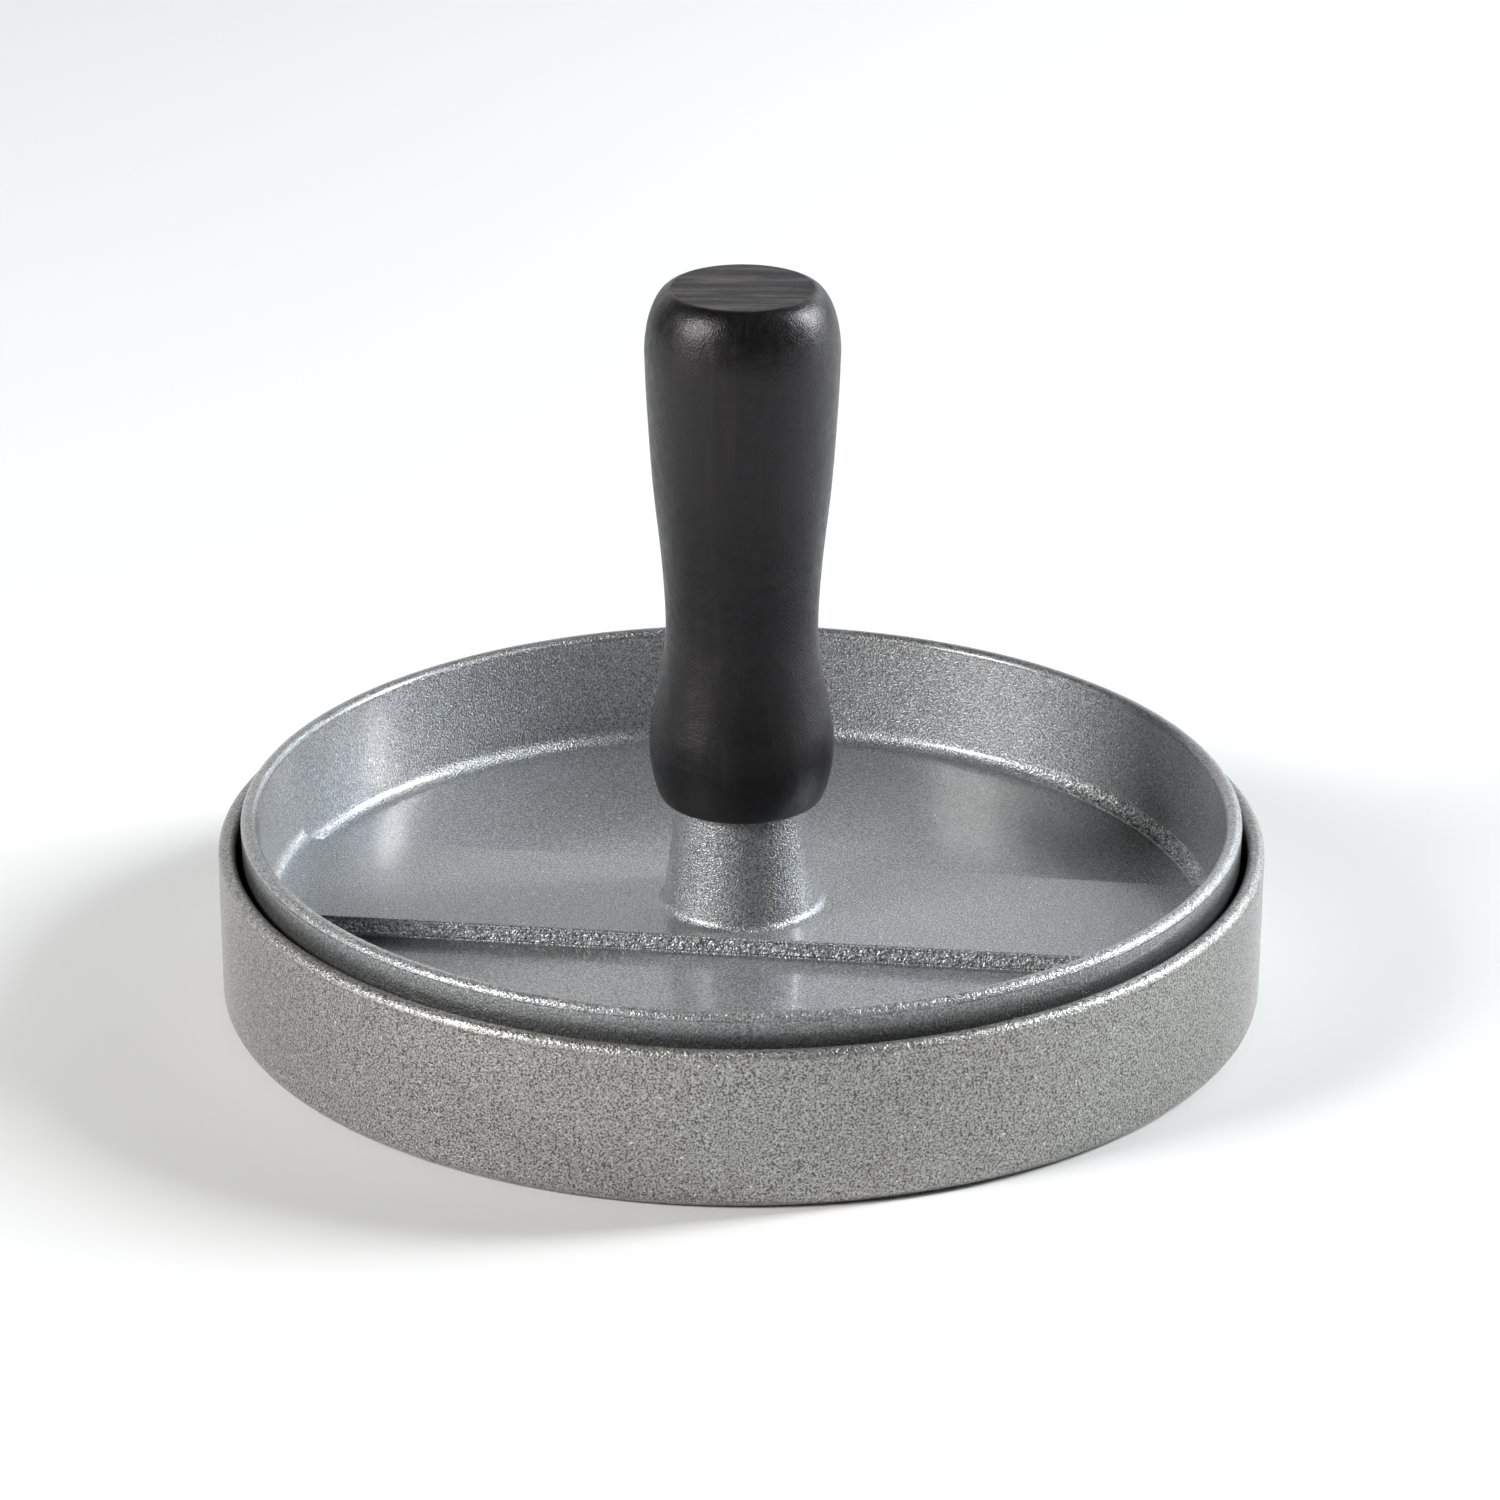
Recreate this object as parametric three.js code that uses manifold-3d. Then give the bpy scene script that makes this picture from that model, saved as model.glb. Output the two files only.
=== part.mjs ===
// A hand patty press: a shallow cast dish, a cast press plate that drops into it, and a turned wooden
// handle that screws down onto a steel stud in the plate's neck. Every piece shares one upright axis.
// Millimetres, +Z up. The origin is on that axis, on the surface that the dish stands on.
import * as THREE from "three";
import { mergeVertices } from "three/addons/utils/BufferGeometryUtils.js";
import Module from "manifold-3d";

const wasm = await Module();
wasm.setup();

// Driving dimensions
const CLEARANCE = 0.3; // left between pieces that touch
const RIM_EDGE = 0.45; // radius of the rounded rim edges
const RING_SEGMENTS = 48; // facets round the two castings
const STEM_SEGMENTS = 32; // facets round the handle and the fixings

const RIDGE_RADII = [10, 18, 26, 34, 42, 50]; // concentric release ridges, the same in both castings
const RIDGE_CREST = 2.0; // width of a ridge's flat crest
const RIDGE_SLOPE = 0.8; // width of each sloped side
const RIDGE_HEIGHT = 1.2;

const DISH = {
  radius: 62.5, // at the rim
  footRadius: 62.3, // the wall tapers by this little towards its foot
  height: 19.5,
  wall: 2.1,
  cornerRadius: 1.6, // outside, round the foot
  floor: 2.7, // height of the inner floor between its ridges
  floorFillet: 2.0,
  floorWallRadius: 59.9, // inner wall just above the floor
  recessRadius: 50, // inside the foot ring
  recessDepth: 0.8,
};

const PLATE = {
  radius: 59.75, // at the rim
  footRadius: 59.3,
  rim: 23.0, // height of the rim's top
  wall: 2.0,
  cornerRadius: 2.2,
  thickness: 3.3, // between the ridges
  floorFillet: 1.8,
  floorWallRadius: 57.0, // inner wall just above the floor
};
PLATE.underside = DISH.floor + 2 * RIDGE_HEIGHT + CLEARANCE; // its ridges stand on the dish's ridges
PLATE.floor = PLATE.underside + PLATE.thickness;

const BAND = {
  height: 2.1, // above the plate's floor
  topWidth: 23.2,
  footWidth: 23.8,
  reach: 58.2, // ends inside the plate's wall
  turn: -7.2, // degrees about the axis
};
BAND.top = PLATE.floor + BAND.height;

const NECK = {
  top: 24.3,
  topRadius: 7.7,
  footRadius: 9.3, // above the fillet
  fillet: 1.1,
  taper: 7, // degrees
  topEdge: 0.35,
  boreEdge: 0.4,
  boreFloor: BAND.top + 0.5, // the blind bore for the stud ends here
};

const STUD = { radius: 3.0, length: 25, chamfer: 0.6, socketFlats: 3.0, socketDepth: 3.5 };
STUD.foot = NECK.boreFloor + CLEARANCE;

const GRIP = {
  foot: NECK.top + CLEARANCE,
  footRadius: 9.4,
  footFullness: 1.6,
  belly: 31.2, // height of the lower swelling
  bellyRadius: 11.0,
  shoulder: 80.5, // height where the top rounding starts
  shoulderRadius: 11.47,
  shoulderFullness: 1.95,
  top: 88.2,
  topRadius: 8.25, // flat disc on top
  boreDepth: 16,
};
const GRIP_STEPS = 20; // facets along the outline between belly and shoulder
const GRIP_WAIST = [
  // radius and height of the turned outline between belly and shoulder
  [10.8, 34],
  [10.09, 37.5],
  [9.29, 42.7],
  [9.03, 47],
  [9.48, 54.4],
  [10.54, 64.4],
  [11.22, 74.4],
];

const INSERT = { radius: 5.0, length: 13, slotWidth: 1.4, slotDepth: 2.0 };
INSERT.foot = GRIP.foot + CLEARANCE;

const ALUMINIUM = { color: 0x8a8c8b, roughness: 0.55, metalness: 0.6 };
const STAINED_WOOD = { color: 0x1d1b1c, roughness: 0.42, metalness: 0 };
const STEEL = { color: 0xa9acb0, roughness: 0.35, metalness: 1 };
const BRASS = { color: 0xb0904f, roughness: 0.35, metalness: 1 };

// Outline helpers. An outline is a list of points: radius and height.
const at = (radius, height) => new THREE.Vector2(radius, height);

// A round corner about a centre, from one angle to another: 0 points outwards, 90 up.
function corner(radius, height, size, from, to, steps = 3) {
  const points = [];
  for (let i = 0; i <= steps; i++) {
    const angle = THREE.MathUtils.degToRad(from + ((to - from) * i) / steps);
    points.push(at(radius + size * Math.cos(angle), height + size * Math.sin(angle)));
  }
  return points;
}

// A quarter of a superellipse. Its middle is at (inner, side): it runs from (outer, side), where it is
// upright, to (inner, end), where it is level. Fullness 2 is a plain ellipse, and less is flatter.
function rounding(inner, outer, side, end, fullness, steps = 7) {
  const points = [];
  for (let i = 0; i <= steps; i++) {
    const angle = (Math.PI / 2) * (i / steps);
    const across = Math.cos(angle) ** (2 / fullness);
    const along = Math.sin(angle) ** (2 / fullness);
    points.push(at(inner + (outer - inner) * across, side + (end - side) * along));
  }
  return points;
}

// The ridges of a casting's food face, from the axis outwards.
function ridges(valley, crest) {
  const half = RIDGE_CREST / 2;
  return RIDGE_RADII.flatMap((radius) => [
    at(radius - half - RIDGE_SLOPE, valley),
    at(radius - half, crest),
    at(radius + half, crest),
    at(radius + half + RIDGE_SLOPE, valley),
  ]);
}

// An outline turned round the upright axis. The outline runs anticlockwise, with radius to the right.
function turned(outline, segments) {
  return new THREE.LatheGeometry(outline, segments).rotateX(Math.PI / 2);
}

// Joining and cutting
function solid(geometry) {
  const bare = geometry.clone();
  bare.deleteAttribute("normal");
  bare.deleteAttribute("uv");
  const merged = mergeVertices(bare, 1e-4);
  const vertProperties = merged.attributes.position.array;
  const triVerts = new Uint32Array(merged.index.array);
  return new wasm.Manifold(new wasm.Mesh({ numProp: 3, vertProperties, triVerts }));
}

function geometryOf(manifold) {
  const mesh = manifold.getMesh();
  const geometry = new THREE.BufferGeometry();
  geometry.setAttribute("position", new THREE.BufferAttribute(mesh.vertProperties, 3));
  geometry.setIndex(new THREE.BufferAttribute(mesh.triVerts, 1));
  geometry.computeVertexNormals();
  return geometry;
}

// Pieces
function dish() {
  const rimInner = DISH.radius - DISH.wall;
  const fillet = DISH.floorFillet;
  const corners = DISH.footRadius - DISH.cornerRadius;
  const outline = [
    at(0, DISH.recessDepth),
    at(DISH.recessRadius - DISH.recessDepth, DISH.recessDepth),
    at(DISH.recessRadius, 0),
    ...corner(corners, DISH.cornerRadius, DISH.cornerRadius, -90, 0),
    ...corner(DISH.radius - RIM_EDGE, DISH.height - RIM_EDGE, RIM_EDGE, 0, 90),
    ...corner(rimInner + RIM_EDGE, DISH.height - RIM_EDGE, RIM_EDGE, 90, 180),
    ...corner(DISH.floorWallRadius - fillet, DISH.floor + fillet, fillet, 0, -90),
    ...ridges(DISH.floor, DISH.floor + RIDGE_HEIGHT).reverse(),
    at(0, DISH.floor),
  ];
  return turned(outline, RING_SEGMENTS);
}

// The stiffening band that runs from wall to wall across the plate's floor, under the neck.
function band() {
  const low = PLATE.floor - PLATE.thickness / 2;
  const section = new THREE.Shape([
    at(-BAND.footWidth / 2, low),
    at(BAND.footWidth / 2, low),
    at(BAND.footWidth / 2, PLATE.floor),
    at(BAND.topWidth / 2, BAND.top),
    at(-BAND.topWidth / 2, BAND.top),
    at(-BAND.footWidth / 2, PLATE.floor),
  ]);
  const along = new THREE.Vector3(1, 0, 0);
  const across = new THREE.Vector3(0, 1, 0);
  const up = new THREE.Vector3(0, 0, 1);
  const bar = new THREE.ExtrudeGeometry(section, { depth: 2 * PLATE.radius, bevelEnabled: false });
  bar.translate(0, 0, -PLATE.radius);
  bar.applyMatrix4(new THREE.Matrix4().makeBasis(across, up, along));
  bar.rotateZ(THREE.MathUtils.degToRad(BAND.turn));
  const trim = new THREE.CylinderGeometry(BAND.reach, BAND.reach, 2 * PLATE.rim, RING_SEGMENTS);
  trim.rotateX(Math.PI / 2);
  return solid(bar).intersect(solid(trim));
}

function plate() {
  const rimInner = PLATE.radius - PLATE.wall;
  const bore = STUD.radius + CLEARANCE;
  const fillet = PLATE.floorFillet;
  const size = PLATE.cornerRadius;
  const neckFoot = NECK.footRadius + NECK.fillet;
  const outline = [
    at(0, PLATE.underside),
    ...ridges(PLATE.underside, PLATE.underside - RIDGE_HEIGHT),
    ...corner(PLATE.footRadius - size, PLATE.underside + size, size, -90, 0),
    ...corner(PLATE.radius - RIM_EDGE, PLATE.rim - RIM_EDGE, RIM_EDGE, 0, 90),
    ...corner(rimInner + RIM_EDGE, PLATE.rim - RIM_EDGE, RIM_EDGE, 90, 180),
    ...corner(PLATE.floorWallRadius - fillet, PLATE.floor + fillet, fillet, 0, -90),
    at(neckFoot, PLATE.floor),
    ...corner(neckFoot, BAND.top + NECK.fillet, NECK.fillet, -90, NECK.taper - 180),
    at(NECK.topRadius, NECK.top - NECK.topEdge),
    at(NECK.topRadius - NECK.topEdge, NECK.top),
    at(bore + NECK.boreEdge, NECK.top),
    at(bore, NECK.top - NECK.boreEdge),
    at(bore, NECK.boreFloor),
    at(0, NECK.boreFloor),
  ];
  return geometryOf(solid(turned(outline, RING_SEGMENTS)).add(band()));
}

function grip() {
  const bore = INSERT.radius + CLEARANCE;
  const lower = rounding(GRIP.footRadius, GRIP.bellyRadius, GRIP.belly, GRIP.foot, GRIP.footFullness);
  const upper = rounding(GRIP.topRadius, GRIP.shoulderRadius, GRIP.shoulder, GRIP.top, GRIP.shoulderFullness);
  const knots = [
    at(GRIP.bellyRadius, GRIP.belly),
    ...GRIP_WAIST.map(([radius, height]) => at(radius, height)),
    at(GRIP.shoulderRadius, GRIP.shoulder),
  ];
  const waist = new THREE.SplineCurve(knots).getSpacedPoints(GRIP_STEPS).slice(1, -1);
  const outline = [
    at(0, GRIP.foot + GRIP.boreDepth),
    at(bore, GRIP.foot + GRIP.boreDepth),
    at(bore, GRIP.foot),
    ...lower.reverse(),
    ...waist,
    ...upper,
    at(0, GRIP.top),
  ];
  return turned(outline, STEM_SEGMENTS);
}

// A headless stud with a hexagon socket in its upper end.
function stud() {
  const top = STUD.foot + STUD.length;
  const outline = [
    at(0, STUD.foot),
    at(STUD.radius - STUD.chamfer, STUD.foot),
    at(STUD.radius, STUD.foot + STUD.chamfer),
    at(STUD.radius, top - STUD.chamfer),
    at(STUD.radius - STUD.chamfer, top),
    at(0, top),
  ];
  const across = STUD.socketFlats / Math.sqrt(3); // corner radius of the hexagon
  const socket = new THREE.CylinderGeometry(across, across, 2 * STUD.socketDepth, 6);
  socket.rotateX(Math.PI / 2);
  socket.translate(0, 0, top);
  return geometryOf(solid(turned(outline, STEM_SEGMENTS)).subtract(solid(socket)));
}

// A bush with a screwdriver slot across its lower end.
function insert() {
  const bore = STUD.radius + CLEARANCE;
  const top = INSERT.foot + INSERT.length;
  const outline = [
    at(bore, INSERT.foot),
    at(INSERT.radius, INSERT.foot),
    at(INSERT.radius, top),
    at(bore, top),
    at(bore, INSERT.foot),
  ];
  const slot = new THREE.BoxGeometry(4 * INSERT.radius, INSERT.slotWidth, 2 * INSERT.slotDepth);
  slot.translate(0, 0, INSERT.foot);
  return geometryOf(solid(turned(outline, STEM_SEGMENTS)).subtract(solid(slot)));
}

function piece(name, geometry, finish) {
  const mesh = new THREE.Mesh(geometry, new THREE.MeshStandardMaterial(finish));
  mesh.name = name;
  return mesh;
}

// Scene graph: the press lifts out of the dish as one group.
const press = new THREE.Group();
press.add(piece("press_plate", plate(), ALUMINIUM));
press.add(piece("neck_stud", stud(), STEEL));
press.add(piece("handle_insert", insert(), BRASS));
press.add(piece("handle_grip", grip(), STAINED_WOOD));

const pattyPress = new THREE.Group();
pattyPress.add(piece("base_dish", dish(), ALUMINIUM));
pattyPress.add(press);

export default pattyPress;
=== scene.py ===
from math import asin, atan2, ceil, cos, degrees, exp, floor, hypot, pi, radians, sin, sqrt

import bmesh
import bpy
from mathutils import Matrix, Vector, noise
from mathutils.geometry import delaunay_2d_cdt


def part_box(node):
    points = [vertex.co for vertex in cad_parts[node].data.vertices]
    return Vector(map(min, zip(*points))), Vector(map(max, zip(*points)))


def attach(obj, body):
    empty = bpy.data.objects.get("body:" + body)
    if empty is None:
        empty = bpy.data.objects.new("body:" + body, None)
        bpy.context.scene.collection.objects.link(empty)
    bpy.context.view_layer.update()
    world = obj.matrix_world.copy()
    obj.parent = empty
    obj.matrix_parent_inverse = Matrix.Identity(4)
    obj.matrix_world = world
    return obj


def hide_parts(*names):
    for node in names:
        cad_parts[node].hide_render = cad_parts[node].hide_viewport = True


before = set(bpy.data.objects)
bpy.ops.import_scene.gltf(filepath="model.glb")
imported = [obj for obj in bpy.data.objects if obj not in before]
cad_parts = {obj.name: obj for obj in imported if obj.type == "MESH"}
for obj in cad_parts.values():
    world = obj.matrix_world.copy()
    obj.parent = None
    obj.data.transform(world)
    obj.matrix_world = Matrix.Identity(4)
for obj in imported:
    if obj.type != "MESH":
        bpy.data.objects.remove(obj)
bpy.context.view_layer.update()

MM = 0.001


# ---------------------------------------------------------------------------------------------------
# Sizes
# ---------------------------------------------------------------------------------------------------
def extent(node):
    """Outer radius, lowest and highest level of a CAD node, in millimetres."""
    low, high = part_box(node)
    return high[0] / MM, low[2] / MM, high[2] / MM


DISH_RADIUS, _, DISH_RIM = extent("base_dish")
PLATE_RADIUS, PLATE_CREST, NECK_TOP = extent("press_plate")
GRIP_RADIUS, GRIP_FOOT, GRIP_TOP = extent("handle_grip")
STUD_RADIUS, STUD_FOOT, STUD_TOP = extent("neck_stud")
INSERT_RADIUS, INSERT_FOOT, INSERT_TOP = extent("handle_insert")

RIM_EDGE = 0.95  # radius of the rims' edges, which leaves them almost fully round
RIDGE_RADII = (10, 18, 26, 34, 42, 50)
RIDGE_HEIGHT = 1.2
RIDGE_CREST = 2.0
RIDGE_SLOPE = 0.8

DISH_WALL = 2.1
DISH_TAPER = 0.2
DISH_CORNER = 1.6
DISH_FLOOR = 2.7
DISH_FILLET = 2.0
DISH_FLOOR_WALL = 59.9
RECESS_RADIUS = 50.0
RECESS_DEPTH = 0.8
RECESS_SLOPE = 1.4  # how far in from the foot ring the recess reaches its depth
RECESS_EDGE = 0.3
DISH_PAINTED_SHADE = 0.45  # share of painted shade on the dish's inside wall, for the shade in the gap round the plate
DISH_SHADE_DEPTH = 4.0  # and how far below the rim it ends

PLATE_RIM = NECK_TOP - 1.3
PLATE_WALL = 2.0
PLATE_RIM_INSIDE = PLATE_RADIUS - PLATE_WALL
PLATE_PAINTED_SHADE = 0.6  # share of painted shade on the plate's outer wall, all the way down
PLATE_TAPER = 0.45
PLATE_CORNER = 2.2
PLATE_UNDERSIDE = PLATE_CREST + RIDGE_HEIGHT
CUP_FLOOR = PLATE_RIM - 14.3
CUP_FILLET = 1.8
CUP_FLOOR_WALL = 57.0
FLOOR_EDGE = CUP_FLOOR_WALL - CUP_FILLET  # radius where the cup's floor turns up into its wall

BAND_HEIGHT = 2.1
BAND_HALF = 11.6  # half the width of the band's top
BAND_TURN = radians(-7.2)
BAND_ALONG = (cos(BAND_TURN), sin(BAND_TURN))
BAND_ACROSS = (-sin(BAND_TURN), cos(BAND_TURN))
BAND_TOP = CUP_FLOOR + BAND_HEIGHT
RUN_MIDDLE = 28  # degrees from +X to where the coating has gathered in the cup's fillet
RUN_SPREAD = 20  # and how many degrees it spreads to each side
NECK_RADIUS = 7.7
NECK_FOOT = 9.3
NECK_FILLET = 1.1
NECK_TAPER = 7
NECK_EDGE = 0.4
NECK_BORE = STUD_RADIUS + 0.15
NECK_BORE_FLOOR = STUD_FOOT - 0.3
BORE_CHAMFER = 0.5  # at the mouths of the neck's and the insert's bores

GRIP_FOOT_RADIUS = 9.4
GRIP_BELLY = GRIP_FOOT + 6.6
GRIP_BELLY_RADIUS = 11.0
GRIP_SHOULDER = GRIP_TOP - 7.7
GRIP_TOP_RADIUS = 8.25
GRIP_BORE = INSERT_RADIUS + 0.15
GRIP_BORE_DEPTH = 16.0
GRIP_BORE_CHAMFER = 0.4
GRIP_END_GRAIN = 0.06  # depth of the hollows in the sanded end
CHECK_TURN = -88  # degrees from +X to the drying check, which faces the viewer
CHECK_HALF = 0.8  # half its width in degrees
CHECK_LOW = GRIP_TOP - 3.4
CHECK_HIGH = GRIP_TOP - 0.5
CHECK_SINK = 0.995  # share of its radius that the wood keeps there
GRIP_WAIST = (  # radius and height above the foot, between belly and shoulder
    (10.8, 9.4),
    (10.09, 12.9),
    (9.29, 18.1),
    (9.03, 22.4),
    (9.48, 29.8),
    (10.54, 39.8),
    (11.22, 49.8),
)

CAST_STEPS = 288  # facets round the castings
NECK_STEPS = 96
GRIP_STEPS = 256
STUD_STEPS = 48
INSERT_STEPS = 64
THREAD_ROWS = 12  # rings in each turn of a thread

CAST_DEPTH = 0.05  # depth of the unevenness of the castings' surface
CAST_SPACING = 9.0  # and how far apart its hollows are
RIM_LUMPS = 0.35  # share of lumpy coating on the front of a rim
RIM_PAINTED_SHADE = 0.4  # share of painted shade on the back of a rim
BAND_LUMPS = 0.6  # share of lumpy coating on the band's front face


# ---------------------------------------------------------------------------------------------------
# Outlines: lists of (radius, height, wear). Wear is 1 where an edge is rubbed bright.
# ---------------------------------------------------------------------------------------------------
def arc(radius, height, size, start, end, steps=8, wear_and_crack_shade=0.0):
    """A round corner about a centre. Angles in degrees: 0 points outwards, 90 up."""
    points = []
    for i in range(steps + 1):
        angle = radians(start + (end - start) * i / steps)
        points.append((radius + size * cos(angle), height + size * sin(angle), wear_and_crack_shade))
    return points


def straight(start, end, heights):
    """Points at some heights on the line between two (radius, height) points."""
    points = []
    for height in heights:
        share = (height - start[1]) / (end[1] - start[1])
        points.append((start[0] + (end[0] - start[0]) * share, height, 0.0))
    return points


def held(points):
    """Adds a point just inside each end of every long straight run, to keep its shading flat."""
    gap = 0.25
    long_run = 1.2
    result = [points[0]]
    for a, b in zip(points, points[1:]):
        run = hypot(b[0] - a[0], b[1] - a[1])
        if run > long_run:
            for share in (gap / run, 1 - gap / run):
                mixed = [a[k] + (b[k] - a[k]) * share for k in range(2)]
                result.append((mixed[0], mixed[1], 0.0))
        result.append(b)
    return result


def superellipse(inner, outer, side, end, fullness, steps=14):
    """A quarter from (outer, side), where it is upright, to (inner, end), where it is level."""
    points = []
    for i in range(steps + 1):
        angle = pi / 2 * i / steps
        across = max(cos(angle), 0.0) ** (2 / fullness)
        along = sin(angle) ** (2 / fullness)
        points.append((inner + (outer - inner) * across, side + (end - side) * along, 0.0))
    return points


def smooth_through(knots, steps):
    """A Catmull-Rom curve through the knots, without its two end points."""
    padded = [knots[0], *knots, knots[-1]]
    points = []
    for i in range(len(knots) - 1):
        p0, p1, p2, p3 = padded[i : i + 4]
        for step in range(steps):
            t = step / steps
            spot = []
            for k in range(2):
                spot.append(
                    0.5 * (2 * p1[k] + (p2[k] - p0[k]) * t
                           + (2 * p0[k] - 5 * p1[k] + 4 * p2[k] - p3[k]) * t * t
                           + (3 * p1[k] - p0[k] - 3 * p2[k] + p3[k]) * t ** 3)
                )
            points.append((spot[0], spot[1], 0.0))
    return points[1:]


def ridges(valley, crest):
    """Release ridges of a food face, with rounded crests, from the outermost inwards."""
    up = 1 if crest > valley else -1
    half = RIDGE_CREST / 2
    foot = half + RIDGE_SLOPE
    soft = 0.35  # size of the rounding where a crest turns down into its slopes
    rounding = ((-0.6, 0.9), (0, 0.3), (0.6, 0.05))  # (step towards the ridge's middle, drop), times soft
    toe = 0.1  # a slope's first rise above the valley
    points = []
    for radius in RIDGE_RADII:
        points.append((radius - foot - soft, valley, 0.0))
        points.append((radius - foot, valley + up * toe, 0.0))
        for inwards, drop in rounding:
            points.append((radius - half + inwards * soft, crest - up * drop * soft, 0.0))
        for inwards, drop in reversed(rounding):
            points.append((radius + half - inwards * soft, crest - up * drop * soft, 0.0))
        points.append((radius + foot, valley + up * toe, 0.0))
        points.append((radius + foot + soft, valley, 0.0))
    return points[::-1]


# ---------------------------------------------------------------------------------------------------
# Meshes
# ---------------------------------------------------------------------------------------------------
def even_angles(count):
    """Angles of a full turn in equal steps."""
    return [2 * pi * i / count for i in range(count)]


def new_mesh():
    """An empty mesh whose points can be marked for the materials."""
    mesh = bmesh.new()
    for layer in ("wear_and_crack_shade", "zone", "painted_shade"):
        mesh.verts.layers.float.new(layer)
    return mesh


def join(mesh, first, second):
    """Faces between two rings that have the same number of points."""
    count = len(first)
    for i in range(count):
        j = (i + 1) % count
        mesh.faces.new((first[i], first[j], second[j], second[i]))


def turn(mesh, outline, angles, lift=None):
    """Turns an outline round the axis. lift(angle) raises a ring's point, for a floor that isn't level."""
    wear_and_crack_shade = mesh.verts.layers.float["wear_and_crack_shade"]
    rings = []
    for radius, height, rub in outline:
        if radius < 1e-6:
            spots = [mesh.verts.new((0, 0, height))]
        else:
            spots = []
            for angle in angles:
                up = lift(angle) if lift else 0.0
                spots.append(mesh.verts.new((radius * cos(angle), radius * sin(angle), height + up)))
        for spot in spots:
            spot[wear_and_crack_shade] = rub
        rings.append(spots)
    count = len(angles)
    for a, b in zip(rings, rings[1:]):
        for i in range(count):
            j = (i + 1) % count
            corners = [a[i % len(a)], a[j % len(a)], b[j % len(b)], b[i % len(b)]]
            unique = list(dict.fromkeys(corners))
            if len(unique) > 2:
                mesh.faces.new(unique)
    return rings


def clamped(value):
    """The value, held between 0 and 1."""
    return min(max(value, 0.0), 1.0)


def mark_rim(mesh, level, inside, outside, wall_painted_shade, wall_depth):
    """Marks a rim's front as lumpy, and paints shade on its back and on the wall under it.

    That wall lies between two radii. Its painted shade sets in just below the rim, and ends at a depth.
    """
    zone = mesh.verts.layers.float["zone"]
    painted_shade = mesh.verts.layers.float["painted_shade"]
    for vertex in mesh.verts:
        away = hypot(vertex.co.x, vertex.co.y)
        below = level - vertex.co.z
        backwards = vertex.co.y / PLATE_RADIUS  # -1 at the very front, 1 at the very back
        if below < RIM_EDGE and away > PLATE_RIM_INSIDE - RIM_EDGE:
            vertex[zone] = RIM_LUMPS * clamped(0.5 - backwards)
            # painted shade: the back of the rim is darkened
            vertex[painted_shade] = RIM_PAINTED_SHADE * clamped(0.3 + backwards)
        # painted shade on the wall under the rim, growing deeper below it
        if inside < away < outside and below < wall_depth:
            vertex[painted_shade] = wall_painted_shade * clamped((below / RIM_EDGE - 0.5) / 2.5)


def roughen(mesh, seed):
    """Sinks the surface a little, unevenly, as sand-blasted and sprayed castings are."""
    mesh.normal_update()
    shift = Vector((seed, 2 * seed, 3 * seed))
    moves = []
    for vertex in mesh.verts:
        coarse = noise.noise(vertex.co / CAST_SPACING + shift)
        fine = noise.noise(vertex.co * 2.3 / CAST_SPACING - shift)
        moves.append(vertex.normal * (-CAST_DEPTH * (0.5 + (coarse + 0.5 * fine) / 3)))
    for vertex, move in zip(mesh.verts, moves):
        vertex.co += move


def weld(mesh):
    """Joins points that coincide, and turns every face outwards."""
    bmesh.ops.remove_doubles(mesh, verts=mesh.verts, dist=1e-4)
    bmesh.ops.recalc_face_normals(mesh, faces=mesh.faces)


def piece(name, mesh, body, node, material, sharp=40):
    """Makes the finished piece in metres, on its body, in place of its CAD node."""
    weld(mesh)
    bmesh.ops.scale(mesh, vec=(MM, MM, MM), verts=mesh.verts)
    data = bpy.data.meshes.new(name)
    mesh.to_mesh(data)
    mesh.free()
    data.shade_smooth()
    data.set_sharp_from_angle(angle=radians(sharp))
    data.materials.append(material)
    made = bpy.data.objects.new(name, data)
    bpy.context.scene.collection.objects.link(made)
    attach(made, body)
    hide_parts(node)


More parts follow.
